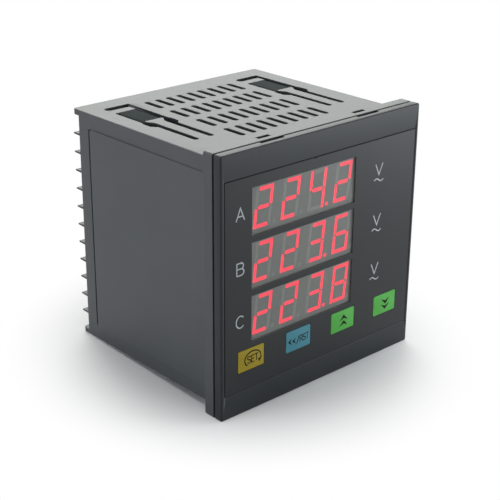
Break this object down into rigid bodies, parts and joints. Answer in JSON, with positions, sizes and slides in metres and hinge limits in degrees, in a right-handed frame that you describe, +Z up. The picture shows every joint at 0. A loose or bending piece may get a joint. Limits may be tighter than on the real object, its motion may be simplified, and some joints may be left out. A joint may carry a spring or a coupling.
{
  "type": "digital panel meter",
  "caption": "Square snap-fit panel meter with stacked red digital displays, a row of push keys, a vented case with clip rails and barrier screw terminals.",
  "frame": {"origin": "middle of the flange face that lies against the panel", "axes": "+X to the reader's right, +Y into the panel, +Z up"},
  "size_m": [0.096, 0.0861, 0.096],
  "materials": {
    "case_plastic": "fine spark texture",
    "bezel_plastic": "fine satin",
    "overlay_film": "satin printed film",
    "lens_clear": "clear, smooth",
    "display_grey": "printed face",
    "led_lit": "lit red",
    "led_dark": "unlit diffuser",
    "key_yellow": "satin silicone cap",
    "key_blue": "satin silicone cap",
    "key_green": "satin silicone cap",
    "button_black": "plain",
    "switch_grey": "plain",
    "board_green": "solder mask",
    "steel": "nickel plated",
    "chip_black": "moulded epoxy",
    "crystal_can": "drawn can",
    "header_black": "plain",
    "pin_gold": "gold flash",
    "block_black": "moulded phenolic",
    "contact_brass": "stamped",
    "potting_black": "potted case",
    "resistor_blue": "lacquer",
    "core_steel": "varnished laminations",
    "bobbin_ivory": "moulded nylon",
    "winding_copper": "taped copper winding",
    "capacitor_sleeve": "printed sleeve",
    "relay_blue": "moulded cover"
  },
  "bodies": {
    "meter": {"case": "case_plastic", "bezel": "bezel_plastic", "overlay": "overlay_film", "display_lens": "lens_clear", "display_a": "display_grey", "display_b": "display_grey", "display_c": "display_grey", "lit_segments": "led_lit", "dark_segments": "led_dark", "tact_switches": "switch_grey", "display_board": "board_green", "left_board": "board_green", "right_board": "board_green", "board_screws": "steel", "clamp_washers": "steel", "terminal_screws": "steel", "processor": "chip_black", "driver_chips": "chip_black", "metering_chip": "chip_black", "rectifier": "chip_black", "regulator": "chip_black", "crystal": "crystal_can", "board_headers": "header_black", "header_pins": "pin_gold", "left_terminal_block": "block_black", "right_terminal_block": "block_black", "terminal_contacts": "contact_brass", "voltage_transformers": "potting_black", "input_resistors": "resistor_blue", "transformer_core": "core_steel", "transformer_bobbin": "bobbin_ivory", "transformer_winding": "winding_copper", "main_capacitor": "capacitor_sleeve", "output_capacitor": "capacitor_sleeve", "relays": "relay_blue"},
    "set_key": {"set_key": "key_yellow", "set_button": "button_black"},
    "shift_key": {"shift_key": "key_blue", "shift_button": "button_black"},
    "up_key": {"up_key": "key_green", "up_button": "button_black"},
    "down_key": {"down_key": "key_green", "down_button": "button_black"}
  },
  "joints": [
    {"name": "set_key_press", "type": "slide", "parent": "meter", "child": "set_key", "axis": [0, 1, 0], "range_m": [0, 0.0003], "stiffness_N_per_m": 1500, "springref_m": -0.0003},
    {"name": "shift_key_press", "type": "slide", "parent": "meter", "child": "shift_key", "axis": [0, 1, 0], "range_m": [0, 0.0003], "stiffness_N_per_m": 1500, "springref_m": -0.0003},
    {"name": "up_key_press", "type": "slide", "parent": "meter", "child": "up_key", "axis": [0, 1, 0], "range_m": [0, 0.0003], "stiffness_N_per_m": 1500, "springref_m": -0.0003},
    {"name": "down_key_press", "type": "slide", "parent": "meter", "child": "down_key", "axis": [0, 1, 0], "range_m": [0, 0.0003], "stiffness_N_per_m": 1500, "springref_m": -0.0003}
  ]
}
